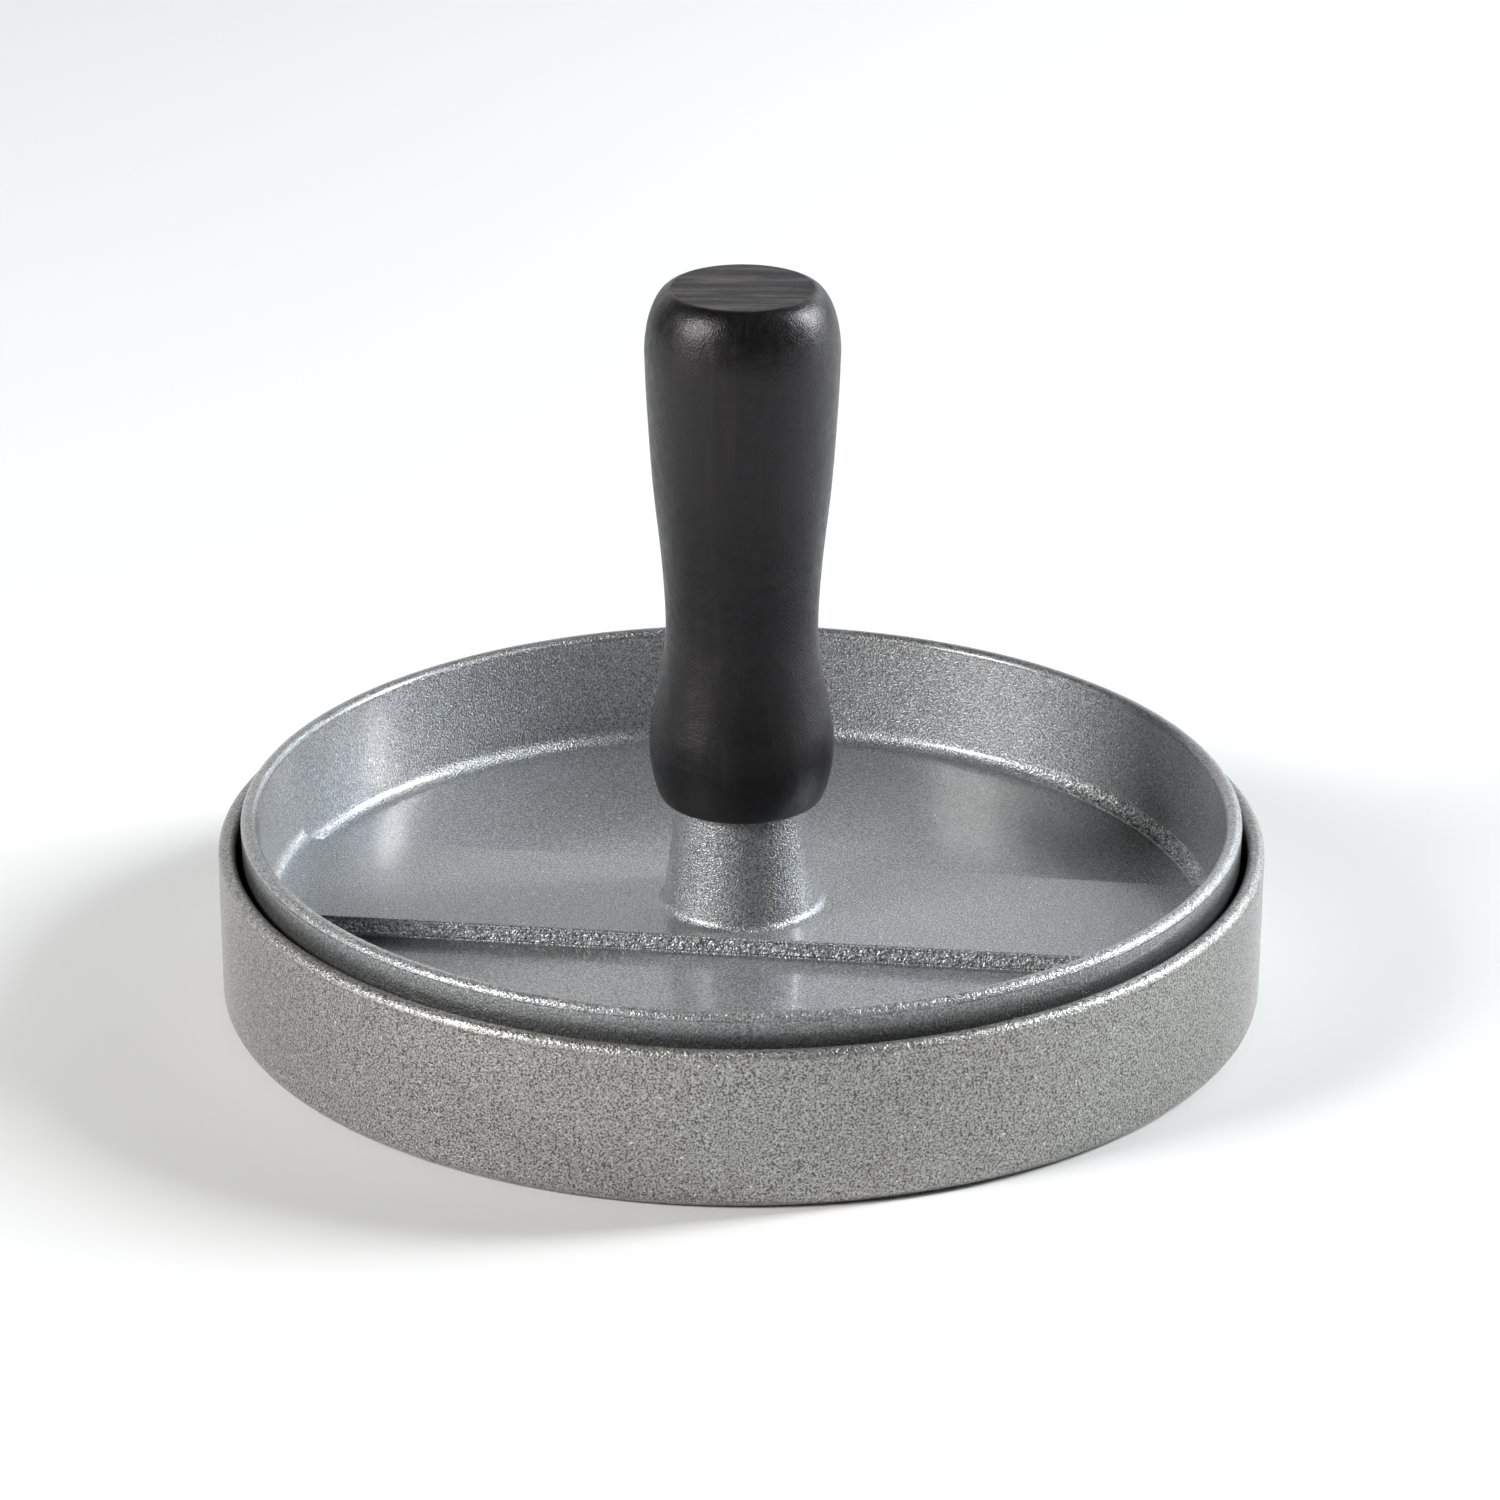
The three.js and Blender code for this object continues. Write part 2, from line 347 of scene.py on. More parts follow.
# ---------------------------------------------------------------------------------------------------
# Material helpers
# ---------------------------------------------------------------------------------------------------
class Nodes:
    """A short way to write a node tree."""

    def __init__(self, name):
        self.material = bpy.data.materials.new(name)
        self.material.use_nodes = True
        self.tree = self.material.node_tree
        self.tree.nodes.clear()
        self.shader = self.tree.nodes.new("ShaderNodeBsdfPrincipled")
        output = self.tree.nodes.new("ShaderNodeOutputMaterial")
        self.link(self.shader.outputs["BSDF"], output.inputs["Surface"])

    def link(self, source, target):
        """Links an output socket to an input socket."""
        self.tree.links.new(source, target)

    def put(self, value, socket):
        """Links a socket or sets a plain value."""
        if isinstance(value, bpy.types.NodeSocket):
            self.link(value, socket)
        else:
            socket.default_value = value

    def position(self, stretch=(1, 1, 1), turn_z=0.0):
        """The piece's own coordinates in metres, stretched."""
        source = self.tree.nodes.new("ShaderNodeTexCoord")
        mapping = self.tree.nodes.new("ShaderNodeMapping")
        self.link(source.outputs["Object"], mapping.inputs["Vector"])
        mapping.inputs["Scale"].default_value = stretch
        mapping.inputs["Rotation"].default_value = (0, 0, turn_z)
        return mapping.outputs["Vector"]

    def noise(self, vector, grain, detail=2.0, rough=0.5, distort=0.0):
        """Noise whose grains are about grain metres across, from 0 to 1."""
        node = self.tree.nodes.new("ShaderNodeTexNoise")
        self.link(vector, node.inputs["Vector"])
        node.inputs["Scale"].default_value = 1 / grain
        node.inputs["Detail"].default_value = detail
        node.inputs["Roughness"].default_value = rough
        node.inputs["Distortion"].default_value = distort
        return node.outputs["Fac"]

    def cells(self, vector, grain):
        """Random value of each cell of about grain metres."""
        node = self.tree.nodes.new("ShaderNodeTexVoronoi")
        self.link(vector, node.inputs["Vector"])
        node.inputs["Scale"].default_value = 1 / grain
        split = self.tree.nodes.new("ShaderNodeSeparateColor")
        self.link(node.outputs["Color"], split.inputs["Color"])
        return split.outputs[0]

    def ramp(self, value, *stops):
        """A colour ramp. Each stop is (place, grey) or (place, (r, g, b))."""
        node = self.tree.nodes.new("ShaderNodeValToRGB")
        self.link(value, node.inputs["Fac"])
        elements = node.color_ramp.elements
        while len(elements) < len(stops):
            elements.new(0.5)
        for element, (place, colour) in zip(elements, stops):
            element.position = place
            rgb = (colour,) * 3 if isinstance(colour, (int, float)) else colour
            element.color = (*rgb, 1)
        return node.outputs["Color"]

    def mix(self, share, first, second, blend="MIX"):
        """A mix of two colours, each a socket or (r, g, b)."""
        node = self.tree.nodes.new("ShaderNodeMix")
        node.data_type = "RGBA"
        node.blend_type = blend
        node.clamp_factor = True
        self.put(share, node.inputs["Factor"])
        for value, socket in ((first, node.inputs[6]), (second, node.inputs[7])):
            if isinstance(value, tuple):
                value = (*value, 1)
            self.put(value, socket)
        return node.outputs[2]

    def times(self, first, second):
        """The product of two values."""
        node = self.tree.nodes.new("ShaderNodeMath")
        node.operation = "MULTIPLY"
        self.put(first, node.inputs[0])
        self.put(second, node.inputs[1])
        return node.outputs["Value"]

    def attribute(self, name):
        """A value that the mesh's points carry."""
        node = self.tree.nodes.new("ShaderNodeAttribute")
        node.attribute_name = name
        return node.outputs["Fac"]

    def bump(self, height, depth, base=None):
        """Bump of depth metres between height 0 and 1."""
        node = self.tree.nodes.new("ShaderNodeBump")
        node.inputs["Distance"].default_value = depth
        self.link(height, node.inputs["Height"])
        if base is not None:
            self.link(base, node.inputs["Normal"])
        return node.outputs["Normal"]

    def finish(self, **values):
        """Sets the shader's inputs and returns the material."""
        names = {"color": "Base Color", "rough": "Roughness", "metal": "Metallic", "normal": "Normal",
                 "specular": "Specular IOR Level", "coat": "Coat Weight", "coat_rough": "Coat Roughness",
                 "coat_normal": "Coat Normal", "coat_ior": "Coat IOR", "tint": "Specular Tint"}
        for key, value in values.items():
            self.put(value, self.shader.inputs[names[key]])
        return self.material


# ---------------------------------------------------------------------------------------------------
# Materials
# ---------------------------------------------------------------------------------------------------
def flake_coating(name, warm, cool, pit, flakes, metal):
    """Sprayed non-stick coating: a pitted layer of metal flake under a smooth glossy skin.

    Its tone changes slowly between warm and cool. Pit is what multiplies the tone in the pits, flakes the
    share of bright glints, and metal how metallic the layer is. The "zone" attribute marks lumps of spray,
    the wear attribute rubbed edges, and the shade attribute painted shade that darkens the colour to near
    black.
    """
    n = Nodes(name)
    place = n.position()
    lumpy = n.attribute("zone")

    # the tone and its pits, then the glints, with more of them where it is lumpy
    tone = n.ramp(n.noise(place, 18 * MM, detail=3), (0.35, warm), (0.65, cool))
    pits = n.noise(place, 0.23 * MM, detail=1.5, rough=0.6)
    grains = n.ramp(pits, (0.40, pit), (0.47, 1.0), (0.58, 1.18), (0.66, 1.8))
    colour = n.mix(1.0, tone, grains, "MULTIPLY")
    glints = n.ramp(n.cells(place, 0.24 * MM), (1 - flakes, 0.0), (1.002 - flakes, 1.0))
    colour = n.mix(glints, colour, (0.86, 0.87, 0.90))
    sparks = n.ramp(n.cells(place, 0.17 * MM), (0.74, 0.0), (0.78, 1.0))
    sparks = n.times(sparks, n.ramp(lumpy, (0.3, 0.0), (0.6, 1.0)))
    colour = n.mix(sparks, colour, (0.90, 0.90, 0.90))
    gaps = n.ramp(n.noise(place, 0.32 * MM, detail=1.5), (0.40, 0.2), (0.50, 1.0))
    colour = n.mix(lumpy, colour, n.mix(1.0, colour, gaps, "MULTIPLY"))

    # patches of wear, and painted shade over everything where the points are marked for it
    patches = n.ramp(n.noise(place, 1.1 * MM, detail=3), (0.42, 0.0), (0.60, 1.0))
    worn = n.times(n.attribute("wear_and_crack_shade"), patches)
    colour = n.mix(n.times(worn, 0.2), colour, (0.62, 0.60, 0.60))
    colour = n.mix(n.attribute("painted_shade"), colour, (0.03, 0.028, 0.026))

    # the lumps lie under both layers, the pebbles of the flake layer under the smoother skin
    rough = n.ramp(n.noise(place, 0.5 * MM, detail=2), (0.3, 0.39), (0.7, 0.31))
    rough = n.mix(n.attribute("wear_and_crack_shade"), rough, (0.37, 0.37, 0.37))
    runs = n.times(n.noise(place, 0.6 * MM, detail=1.5), lumpy)
    lumps = n.bump(runs, 0.45 * MM)
    pebbles = n.bump(n.noise(place, 0.23 * MM, detail=1.5, rough=0.6), 0.15 * MM, base=lumps)
    skin = n.bump(n.noise(place, 1.6 * MM, detail=2.0), 0.02 * MM, base=lumps)
    return n.finish(color=colour, rough=rough, metal=metal, normal=pebbles, tint=(0.4, 0.4, 0.4, 1),
                    coat=0.8, coat_rough=0.16, coat_ior=1.5, coat_normal=skin)


def stained_wood():
    """Turned beech, stained black: faint long grain on the sides, streaky end grain on top, painted shade in
    the drying check.
    """
    n = Nodes("black_stained_wood")
    along = n.position(stretch=(1, 1, 0.045))
    place = n.position()
    streaks = n.noise(along, 1.3 * MM, detail=4, rough=0.6)
    side = n.ramp(streaks, (0.30, (0.0030, 0.0029, 0.0032)), (0.55, (0.0050, 0.0047, 0.0048)),
                  (0.80, (0.013, 0.0105, 0.0100)))
    ends = n.position(stretch=(0.13, 1, 1), turn_z=radians(4))
    rings = n.noise(ends, 2.0 * MM, detail=5, rough=0.62, distort=0.4)
    fibres = n.noise(n.position(stretch=(0.35, 1, 1)), 0.35 * MM, detail=2)
    end = n.ramp(rings, (0.38, (0.004, 0.0038, 0.0040)), (0.50, (0.018, 0.016, 0.016)),
                 (0.62, (0.058, 0.051, 0.049)))
    end = n.mix(0.55, end, n.ramp(fibres, (0.3, 0.55), (0.7, 1.5)), "MULTIPLY")
    cut = n.attribute("zone")
    colour = n.mix(cut, side, end)
    # painted shade: the drying check's marked points are coloured near black
    colour = n.mix(n.attribute("wear_and_crack_shade"), colour, (0.001, 0.001, 0.001))
    skin = n.noise(place, 0.24 * MM, detail=1.5, rough=0.6)
    rough = n.ramp(n.noise(place, 1.2 * MM, detail=2), (0.3, 0.31), (0.7, 0.43))
    rough = n.mix(cut, rough, (0.62, 0.62, 0.62))
    hollows = n.bump(n.noise(place, 3.0 * MM, detail=1.5), 0.12 * MM)
    pores = n.bump(streaks, 0.015 * MM, base=hollows)
    normal = n.bump(skin, 0.05 * MM, base=pores)
    return n.finish(color=colour, rough=rough, metal=0.0, normal=normal, specular=0.4,
                    tint=(1.0, 0.95, 1.0, 1))


def thread_metal(name, colour, stain, rough):
    """Rolled or machined thread metal, with fine turning lines and a little dulling."""
    n = Nodes(name)
    place = n.position()
    dull = n.noise(place, 1.5 * MM, detail=3)
    tone = n.mix(n.ramp(dull, (0.45, 0.0), (0.75, 0.7)), colour, stain)
    lines = n.noise(n.position(stretch=(0.1, 0.1, 1)), 0.08 * MM, detail=1)
    return n.finish(
        color=tone,
        rough=n.ramp(dull, (0.3, rough), (0.8, rough + 0.18)),
        metal=1.0,
        normal=n.bump(lines, 0.004 * MM),
    )


def floor_paper():
    """Pale matt studio floor."""
    n = Nodes("studio_floor")
    tone = n.ramp(n.noise(n.position(), 0.4, detail=2), (0.3, 0.76), (0.7, 0.78))
    return n.finish(color=tone, rough=0.9, metal=0.0, specular=0.2)


# ---------------------------------------------------------------------------------------------------
# Pieces
# ---------------------------------------------------------------------------------------------------
def make_dish():
    """The dish: ridged floor, tapered wall with a rounded rim, and a foot ring round a shallow recess."""
    inner = DISH_RADIUS - DISH_WALL
    corner_radius = DISH_RADIUS - DISH_TAPER - DISH_CORNER
    fillet_radius = DISH_FLOOR_WALL - DISH_FILLET
    half_recess = RECESS_DEPTH / 2
    rim_level = DISH_RIM - RIM_EDGE
    # rows where the painted shade on the inside wall fades in
    shade_rows = (DISH_RIM - DISH_SHADE_DEPTH + 0.5, DISH_RIM - 2 * DISH_SHADE_DEPTH)
    outline = [
        (0, RECESS_DEPTH, 0.0),
        *arc(RECESS_RADIUS - RECESS_SLOPE, half_recess, half_recess, 90, 30, 4),
        *arc(RECESS_RADIUS, RECESS_EDGE, RECESS_EDGE, 200, 270, 4, wear_and_crack_shade=0.5),
        *arc(corner_radius, DISH_CORNER, DISH_CORNER, -90, 0, 10, wear_and_crack_shade=0.2),
        *arc(DISH_RADIUS - RIM_EDGE, rim_level, RIM_EDGE, 0, 90, 8, wear_and_crack_shade=1.0),
        *arc(inner + RIM_EDGE, rim_level, RIM_EDGE, 90, 180, 8, wear_and_crack_shade=0.7),
        *straight((inner, rim_level), (DISH_FLOOR_WALL, DISH_FLOOR + DISH_FILLET), shade_rows),
        *arc(fillet_radius, DISH_FLOOR + DISH_FILLET, DISH_FILLET, 0, -90, 10),
        *ridges(DISH_FLOOR, DISH_FLOOR + RIDGE_HEIGHT),
        (0, DISH_FLOOR, 0.0),
    ]
    mesh = new_mesh()
    turn(mesh, held(outline), even_angles(CAST_STEPS))
    # painted shade on the back of the rim and on the inside wall below it
    mark_rim(mesh, DISH_RIM, inner - 0.5, inner + 0.5 * RIM_EDGE, DISH_PAINTED_SHADE, DISH_SHADE_DEPTH)
    roughen(mesh, seed=3.1)
    coating = flake_coating("dish_flake_coating", warm=(0.320, 0.314, 0.297), cool=(0.316, 0.315, 0.303),
                            pit=(0.27, 0.255, 0.24), flakes=0.0012, metal=0.70)
    piece("dish_casting", mesh, "dish", "base_dish", coating)


def band_section():
    """Half of the band's cross-section, from its top outwards: (distance from the middle line, lift)."""
    edge = 0.38
    foot = 0.35
    flat_row = 0.8  # how far in from its edge the top has its last row of points
    face = BAND_HALF + 0.18  # the face leans out a little
    top = arc(BAND_HALF - edge, BAND_HEIGHT - edge, edge, 90, 5, 6)
    low = arc(face + foot, foot, foot, 185, 270, 6)
    rounded = [(distance, lift) for distance, lift, _ in top + low]
    return [(BAND_HALF - flat_row, BAND_HEIGHT), *rounded, (face + 2 * foot, 0.0)]


def band_lift(distance, section):
    """Height of the floor above its low level, at a distance from the band's middle line."""
    distance = abs(distance)
    if distance <= section[0][0]:
        return section[0][1]
    for (d0, h0), (d1, h1) in zip(section, section[1:]):
        if distance <= d1:
            return h0 + (h1 - h0) * (distance - d0) / max(d1 - d0, 1e-9)
    return 0.0


def cup_angles(section):
    """Even angles, and those where each line of the band's section meets the floor's edge."""
    crossings = []
    for distance, _ in section:
        swing = asin(distance / FLOOR_EDGE)
        for start, sign in ((0, 1), (0, -1), (pi, 1), (pi, -1)):
            crossings.append((BAND_TURN + start + sign * swing) % (2 * pi))
    clear = radians(0.3)
    spaced = [a for a in even_angles(CAST_STEPS)
              if all(abs((a - c + pi) % (2 * pi) - pi) > clear for c in crossings)]
    return sorted(spaced + crossings)


def floor_points(inner, section):
    """Points within the cup's floor: rows along each line of the band's section, and a loose grid."""
    step = 1.5
    fill = 3.2
    clear = 1.5  # least room between the grid and the floor's two edges
    places = []  # (distance along the band, distance across it)
    for distance, _ in section:
        reach = sqrt(FLOOR_EDGE ** 2 - distance ** 2) - 0.5 * step
        count = floor(reach / step)
        for side in (-1, 1):
            places += [(step * i, side * distance) for i in range(-count, count + 1)]
    rows = ceil(FLOOR_EDGE / fill)
    for row in range(-rows, rows + 1):
        for column in range(-rows, rows + 1):
            along = fill * (column + 0.5 * (row % 2))
            across = fill * row
            on_step = section[0][0] - 1 < abs(across) < section[-1][0] + 1
            if inner + clear < hypot(along, across) < FLOOR_EDGE - clear and not on_step:
                places.append((along, across))
    return [(u * BAND_ALONG[0] + v * BAND_ACROSS[0], u * BAND_ALONG[1] + v * BAND_ACROSS[1])
            for u, v in places]


def circle(radius, angles):
    """Points of a circle, as (x, y)."""
    return [(radius * cos(angle), radius * sin(angle)) for angle in angles]


def loop_edges(start, count):
    """Pairs of numbers that join a run of points into a closed loop."""
    return [(start + i, start + (i + 1) % count) for i in range(count)]


def cup_floor(mesh, angles, section):
    """The cup's floor with the raised band, from the neck's foot to the wall's fillet."""
    inner = NECK_FOOT + NECK_FILLET
    flat = circle(FLOOR_EDGE, angles) + circle(inner, even_angles(NECK_STEPS)) + floor_points(inner, section)
    edges = loop_edges(0, len(angles)) + loop_edges(len(angles), NECK_STEPS)
    spots, _, triangles, *_ = delaunay_2d_cdt([Vector(point) for point in flat], edges, [], 0, 1e-6)
    zone = mesh.verts.layers.float["zone"]
    rounded = 0.3  # height of the face's rounded foot and edge, which aren't lumpy
    made = []
    for x, y in spots:
        across = x * BAND_ACROSS[0] + y * BAND_ACROSS[1]
        lift = band_lift(across, section)
        vertex = mesh.verts.new((x, y, CUP_FLOOR + lift))
        if across < 0 and rounded < lift < BAND_HEIGHT - rounded:
            vertex[zone] = BAND_LUMPS
        made.append(vertex)
    for corners in triangles:
        middle = sum((spots[i] for i in corners), Vector((0, 0))) / 3
        if inner * 0.9999 < middle.length:
            mesh.faces.new([made[i] for i in corners])
    for vertex in made:
        if not vertex.link_faces:
            mesh.verts.remove(vertex)


def cup_fillet(mesh, angles, lifts):
    """The round corner between the cup's floor and wall, lumpy where the coating has run together."""
    outline = arc(FLOOR_EDGE, CUP_FLOOR + CUP_FILLET, CUP_FILLET, -90, 0, 10)
    rings = turn(mesh, outline, angles, lift=lifts.get)
    zone = mesh.verts.layers.float["zone"]
    for ring in rings[2:-1]:
        for vertex in ring:
            swing = degrees(atan2(vertex.co.y, vertex.co.x))
            vertex[zone] = exp(-((swing - RUN_MIDDLE) / RUN_SPREAD) ** 2)


def cup_wall(mesh, angles, lifts):
    """The cup's wall. Its lower end follows the floor and the band, and its upper end is level."""
    low = CUP_FLOOR + CUP_FILLET
    high = PLATE_RIM - RIM_EDGE
    steps = 8
    rings = []
    for i in range(steps + 1):
        share = i / steps
        radius = CUP_FLOOR_WALL + (PLATE_RIM_INSIDE - CUP_FLOOR_WALL) * share
        rise = {angle: lifts[angle] * (1 - share) for angle in angles}
        rings += turn(mesh, [(radius, low + (high - low) * share, 0.0)], angles, lift=rise.get)
    for first, second in zip(rings, rings[1:]):
        join(mesh, first, second)


def plate_outside():
    """The plate's rim, its outer wall and its ridged underside."""
    rim_level = PLATE_RIM - RIM_EDGE
    wall_foot = PLATE_RADIUS - PLATE_TAPER
    corner_level = PLATE_UNDERSIDE + PLATE_CORNER
    # rows where the painted shade on the outer wall fades in
    shade_rows = (PLATE_RIM - 3 * RIM_EDGE, DISH_RIM - 1)
    return [
        *arc(PLATE_RIM_INSIDE + RIM_EDGE, rim_level, RIM_EDGE, 180, 90, 8, wear_and_crack_shade=0.8),
        *arc(PLATE_RADIUS - RIM_EDGE, rim_level, RIM_EDGE, 90, 0, 8, wear_and_crack_shade=1.0),
        *straight((PLATE_RADIUS, rim_level), (wall_foot, corner_level), shade_rows),
        *arc(wall_foot - PLATE_CORNER, corner_level, PLATE_CORNER, 0, -90, 10),
        *ridges(PLATE_UNDERSIDE, PLATE_CREST),
        (0, PLATE_UNDERSIDE, 0.0),
    ]


def neck_outline():
    """The neck, from the floor of its blind bore to the fillet at its foot."""
    return [
        (0, NECK_BORE_FLOOR, 0.0),
        (NECK_BORE, NECK_BORE_FLOOR, 0.0),
        (NECK_BORE, NECK_TOP - BORE_CHAMFER, 0.0),
        (NECK_BORE + BORE_CHAMFER, NECK_TOP, 0.0),
        *arc(NECK_RADIUS - NECK_EDGE, NECK_TOP - NECK_EDGE, NECK_EDGE, 90, NECK_TAPER, 6, wear_and_crack_shade=0.6),
        *arc(NECK_FOOT + NECK_FILLET, BAND_TOP + NECK_FILLET, NECK_FILLET, 180 + NECK_TAPER, 270, 8),
    ]


def make_plate():
    """The press plate: cup with its raised band, conical neck, rim, and ridged underside."""
    section = band_section()
    angles = cup_angles(section)
    lifts = {angle: band_lift(FLOOR_EDGE * sin(angle - BAND_TURN), section) for angle in angles}
    mesh = new_mesh()
    cup_floor(mesh, angles, section)
    cup_fillet(mesh, angles, lifts)
    cup_wall(mesh, angles, lifts)
    turn(mesh, held(plate_outside()), angles)
    # painted shade on the back of the rim and all down the outer wall
    wall_inside = PLATE_RADIUS - PLATE_TAPER - 0.2
    mark_rim(mesh, PLATE_RIM, wall_inside, PLATE_RADIUS + 0.1, PLATE_PAINTED_SHADE, PLATE_RIM)
    turn(mesh, held(neck_outline()), even_angles(NECK_STEPS))
    weld(mesh)
    roughen(mesh, seed=7.7)
    coating = flake_coating("plate_flake_coating", warm=(0.314, 0.319, 0.325), cool=(0.308, 0.322, 0.339),
                            pit=(0.54, 0.525, 0.51), flakes=0.004, metal=0.60)
    piece("plate_casting", mesh, "press", "press_plate", coating)


def grip_outline():
    """The handle, from the floor of its bore, out at its foot and up to the middle of its flat end."""
    knots = [(GRIP_BELLY_RADIUS, GRIP_BELLY)]
    knots += [(radius, GRIP_FOOT + up) for radius, up in GRIP_WAIST]
    knots.append((GRIP_RADIUS, GRIP_SHOULDER))
    lower = superellipse(GRIP_FOOT_RADIUS, GRIP_BELLY_RADIUS, GRIP_BELLY, GRIP_FOOT, fullness=1.6)
    upper = superellipse(GRIP_TOP_RADIUS, GRIP_RADIUS, GRIP_SHOULDER, GRIP_TOP, fullness=1.95, steps=20)
    rings = [(GRIP_TOP_RADIUS * share, GRIP_TOP, 0.0) for share in (0.98, 0.8, 0.6, 0.4, 0.2)]
    return [
        (0, GRIP_FOOT + GRIP_BORE_DEPTH, 0.0),
        (GRIP_BORE, GRIP_FOOT + GRIP_BORE_DEPTH, 0.0),
        (GRIP_BORE, GRIP_FOOT + GRIP_BORE_CHAMFER, 0.0),
        (GRIP_BORE + GRIP_BORE_CHAMFER, GRIP_FOOT, 0.0),
        *lower[::-1],
        *smooth_through(knots, 8),
        *upper,
        *rings,
        (0, GRIP_TOP, 0.0),
    ]


def make_grip():
    """The turned handle, with a flat sanded end, a small drying check painted dark as shade, and its bore
    for the insert.
    """
    mesh = new_mesh()
    turn(mesh, grip_outline(), even_angles(GRIP_STEPS))
    zone = mesh.verts.layers.float["zone"]
    wear_and_crack_shade = mesh.verts.layers.float["wear_and_crack_shade"]
    for vertex in mesh.verts:
        away = hypot(vertex.co.x, vertex.co.y)
        if vertex.co.z > GRIP_TOP - 0.01 and away < GRIP_TOP_RADIUS + 0.01:
            vertex[zone] = 1.0
            grain = noise.noise(Vector((vertex.co.x * 0.12, vertex.co.y * 0.9, 5)))
            vertex.co.z -= GRIP_END_GRAIN * (0.5 + 0.5 * grain)
        # the drying check: sunk a little, and marked for painted shade, a near-black line for the shade in
        # the crack
        on_check = abs(degrees(atan2(vertex.co.y, vertex.co.x)) - CHECK_TURN) < CHECK_HALF
        if on_check and CHECK_LOW < vertex.co.z < CHECK_HIGH and away > GRIP_TOP_RADIUS:
            vertex[wear_and_crack_shade] = 1.0
            vertex.co.x *= CHECK_SINK
            vertex.co.y *= CHECK_SINK
    piece("grip_turning", mesh, "handle", "handle_grip", stained_wood())


def helix_profile(phase, crest, root):
    """Radius of a thread at a phase from 0 to 1 along its pitch: flat crest, flat root, straight flanks."""
    phase = abs((phase % 1.0) - 0.5) * 2  # 1 at the crest, 0 at the root
    return root + (crest - root) * clamped((phase - 0.18) / 0.64)


def threaded_rows(mesh, low, high, pitch, crest, root, chamfer, steps):
    """A threaded cylinder's rings. A chamfer of 45 degrees cuts each end down from the crest."""
    count = max(2, int((high - low) / pitch * THREAD_ROWS))
    rings = []
    for row in range(count + 1):
        height = low + (high - low) * row / count
        widest = crest - chamfer + min(height - low, high - height)
        ring = []
        for k in range(steps):
            radius = min(widest, helix_profile(height / pitch - k / steps, crest, root))
            angle = 2 * pi * k / steps
            ring.append(mesh.verts.new((radius * cos(angle), radius * sin(angle), height)))
        rings.append(ring)
    for first, second in zip(rings, rings[1:]):
        join(mesh, first, second)
    return rings


def hexagon(mesh, apothem, level):
    """A ring of points on a hexagon, as many as the stud has round it."""
    ring = []
    for k in range(STUD_STEPS):
        angle = 2 * pi * k / STUD_STEPS
        away = apothem / cos(angle % (pi / 3) - pi / 6)
        ring.append(mesh.verts.new((away * cos(angle), away * sin(angle), level)))
    return ring


def make_stud():
    """Headless M6 stud with a rolled thread, chamfered ends and a hexagon socket in its upper end."""
    pitch = 1.0
    root = STUD_RADIUS - 0.58
    chamfer = 0.7
    apothem = 1.5  # of the socket, for a 3 mm key
    mesh = new_mesh()
    rings = threaded_rows(mesh, STUD_FOOT, STUD_TOP, pitch, STUD_RADIUS, root, chamfer, STUD_STEPS)
    mesh.faces.new(rings[0])
    mouth = hexagon(mesh, 1.12 * apothem, STUD_TOP)
    edge = hexagon(mesh, apothem, STUD_TOP - 0.2)
    bottom = hexagon(mesh, apothem, STUD_TOP - 3.5)
    for first, second in ((rings[-1], mouth), (mouth, edge), (edge, bottom)):
        join(mesh, first, second)
    tip = mesh.verts.new((0, 0, STUD_TOP - 4.1))
    for k in range(STUD_STEPS):
        mesh.faces.new((bottom[k], bottom[(k + 1) % STUD_STEPS], tip))
    zinc = thread_metal("zinc_plated_steel", (0.66, 0.67, 0.69), (0.42, 0.43, 0.46), 0.24)
    piece("stud_threaded", mesh, "stud", "neck_stud", zinc, sharp=50)


def make_insert():
    """Brass bush: coarse outer thread that bites the wood, plain running bore with chamfered mouths."""
    bore = STUD_RADIUS + 0.15
    mouth = bore + BORE_CHAMFER
    pitch = 2.6
    root = INSERT_RADIUS - 0.55
    chamfer = 0.8
    mesh = new_mesh()
    outer = threaded_rows(mesh, INSERT_FOOT, INSERT_TOP, pitch, INSERT_RADIUS, root, chamfer, INSERT_STEPS)
    inner = turn(mesh, [
        (mouth, INSERT_TOP, 0.0),
        (bore, INSERT_TOP - BORE_CHAMFER, 0.0),
        (bore, INSERT_FOOT + BORE_CHAMFER, 0.0),
        (mouth, INSERT_FOOT, 0.0),
    ], even_angles(INSERT_STEPS))
    join(mesh, outer[-1], inner[0])
    join(mesh, inner[-1], outer[0])
    brass = thread_metal("machined_brass", (0.72, 0.56, 0.28), (0.48, 0.36, 0.18), 0.28)
    piece("insert_bush", mesh, "insert", "handle_insert", brass, sharp=50)


# ---------------------------------------------------------------------------------------------------
# Stage, light and camera
# ---------------------------------------------------------------------------------------------------
def make_floor():
    """A plain floor, far wider than the view."""
    size = 6.0
    mesh = bmesh.new()
    bmesh.ops.create_grid(mesh, x_segments=8, y_segments=8, size=size / 2)
    data = bpy.data.meshes.new("studio_floor")
    mesh.to_mesh(data)
    mesh.free()
    data.materials.append(floor_paper())
    made = bpy.data.objects.new("studio_floor", data)
    bpy.context.scene.collection.objects.link(made)


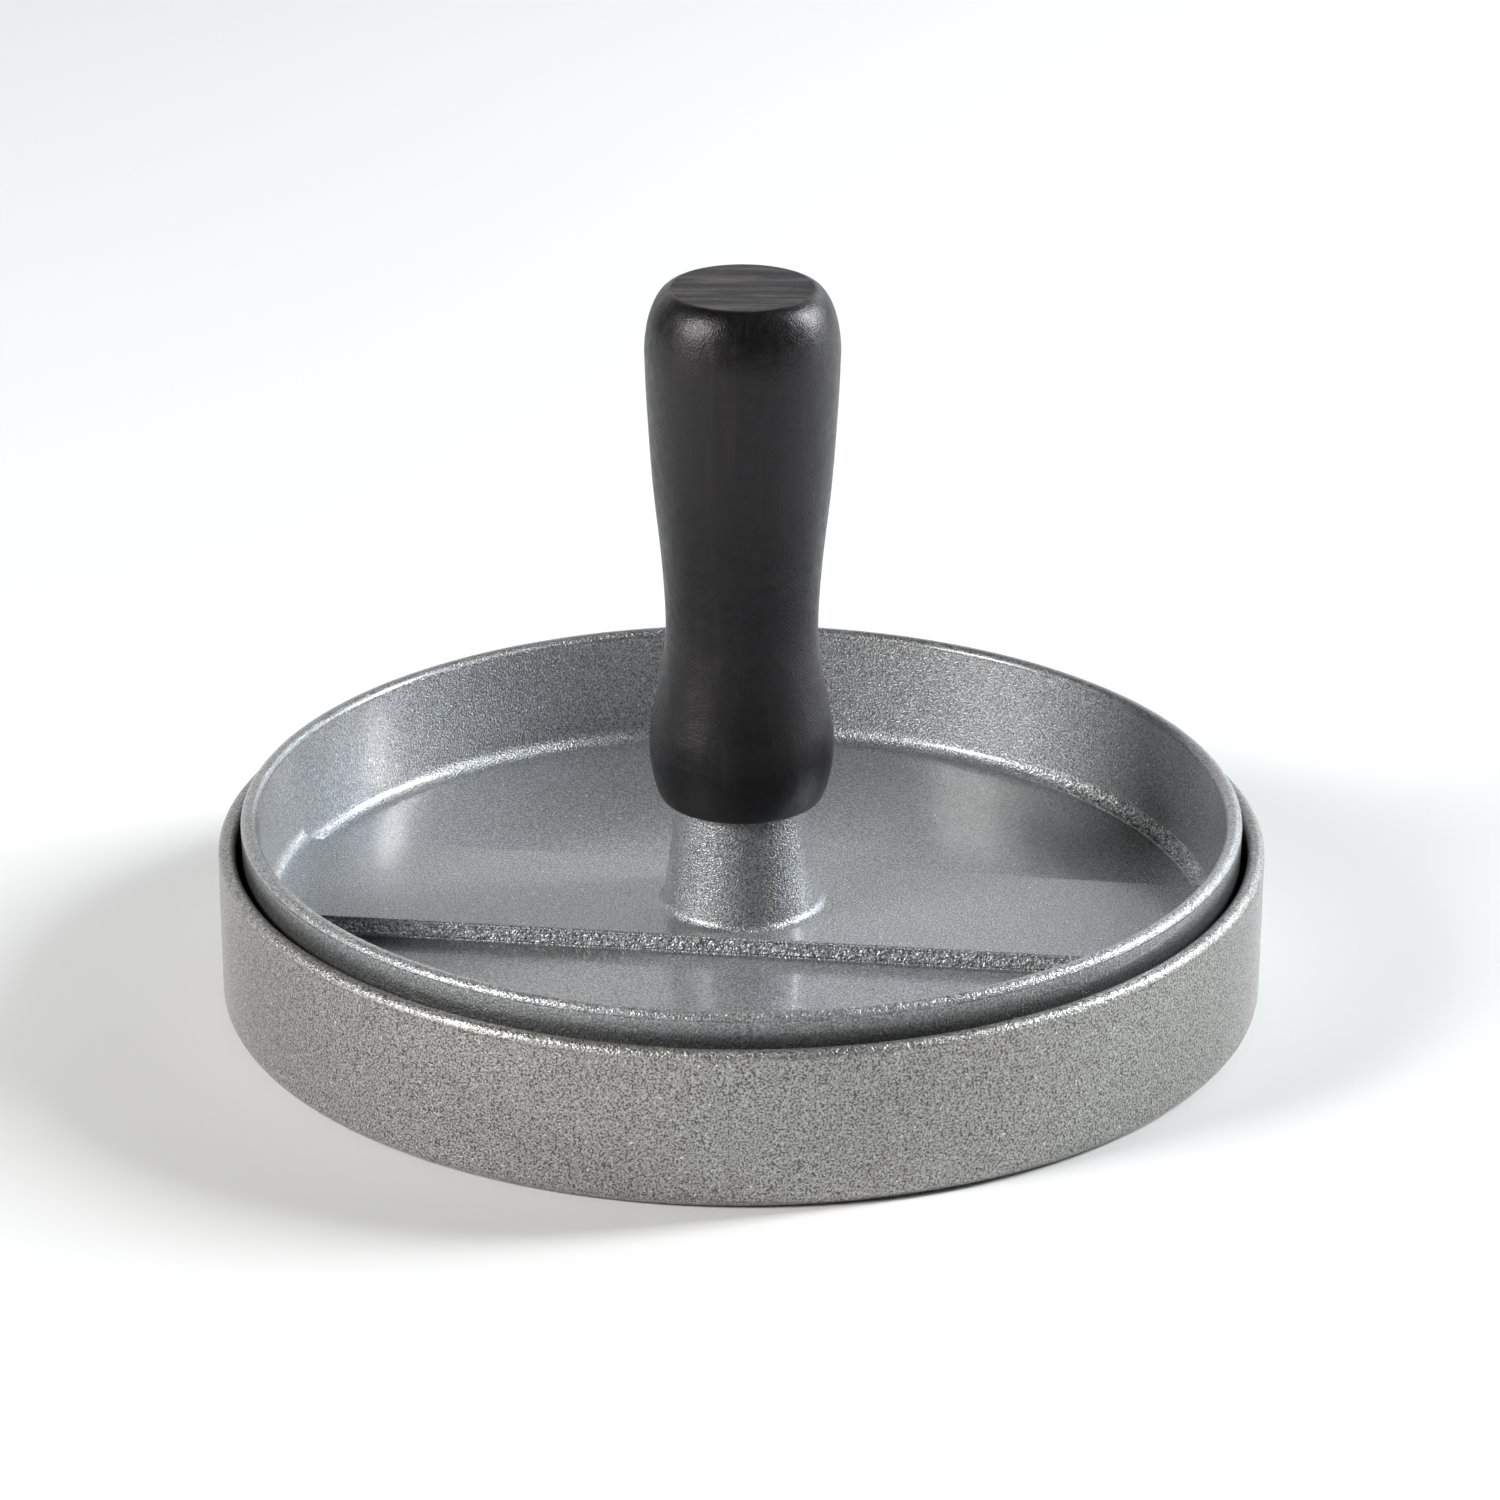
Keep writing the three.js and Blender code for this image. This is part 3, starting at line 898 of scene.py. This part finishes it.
def softbox(name, turned, height, away, size, power, colour):
    """A soft box aimed at the press, so many degrees round from the viewer to the right, and up.

    Its distance and its size, as (width, height), are in metres, and its power in watts.
    """
    pivot = Vector((0, 0, 0.02))
    aim = Vector((0, 0, 0.03))
    level = away * cos(radians(height))
    side = level * sin(radians(turned))
    depth = -level * cos(radians(turned))
    light = bpy.data.lights.new(name, "AREA")
    light.shape = "RECTANGLE"
    light.size, light.size_y = size
    light.energy = power
    light.color = colour
    made = bpy.data.objects.new(name, light)
    made.location = pivot + Vector((side, depth, away * sin(radians(height))))
    made.rotation_euler = (aim - made.location).to_track_quat("-Z", "Y").to_euler()
    bpy.context.scene.collection.objects.link(made)


def make_lights():
    """A tall key on the right with helpers behind and below it, warm fills on the left, a sheet behind."""
    # name, degrees round, degrees up, distance, size, power, colour
    softbox("key_right", 102, 29, 1.0, (0.14, 0.44), 11.6, (0.985, 1.0, 1.0))
    softbox("key_behind", 112, 30, 1.0, (0.25, 0.45), 2.4, (0.80, 0.92, 1.0))
    softbox("key_low", 102, 14, 1.0, (0.30, 0.30), 1.9, (0.95, 0.99, 1.0))
    softbox("fill_left", -66, 24, 1.0, (0.40, 0.30), 5.4, (1.0, 0.99, 0.975))
    softbox("fill_front_left", -61, 32, 1.0, (0.28, 0.28), 6.1, (1.0, 0.995, 0.965))
    softbox("lamp_behind", 150, 25, 1.2, (0.50, 0.40), 1.5, (0.75, 0.88, 1.0))
    softbox("sheet_behind", 180, 19, 1.37, (3.00, 0.90), 9.2, (0.98, 0.99, 1.0))


def make_backdrop():
    """A pale backdrop that lights the press only a little."""
    seen = 0.75
    cast = 0.04
    world = bpy.data.worlds.new("studio")
    bpy.context.scene.world = world
    world.use_nodes = True
    tree = world.node_tree
    sky = tree.nodes["Background"]
    sky.inputs["Color"].default_value = (0.95, 0.97, 1.0, 1)
    rays = tree.nodes.new("ShaderNodeLightPath")
    strength = tree.nodes.new("ShaderNodeMapRange")
    strength.inputs["To Min"].default_value = cast
    strength.inputs["To Max"].default_value = seen
    tree.links.new(rays.outputs["Is Camera Ray"], strength.inputs["Value"])
    tree.links.new(strength.outputs["Result"], sky.inputs["Strength"])


def make_camera():
    """At the height and distance of a product shot, with a long lens."""
    distance = 0.8125
    elevation = radians(22.55)
    roll = radians(0.17)
    aim = Vector((0.99 * MM, 0, 30.2 * MM))
    camera = bpy.data.objects.new("camera", bpy.data.cameras.new("camera"))
    camera.data.lens = 163.8
    camera.data.sensor_width = 36
    forward = Vector((0, cos(elevation), -sin(elevation)))
    camera.location = aim - forward * distance
    camera.rotation_euler = forward.to_track_quat("-Z", "Y").to_euler()
    camera.rotation_euler.rotate_axis("Z", roll)
    bpy.context.scene.collection.objects.link(camera)
    bpy.context.scene.camera = camera


make_camera()
make_dish()
make_plate()
make_grip()
make_stud()
make_insert()
make_floor()
make_lights()
make_backdrop()
bpy.context.scene.view_settings.view_transform = "Standard"
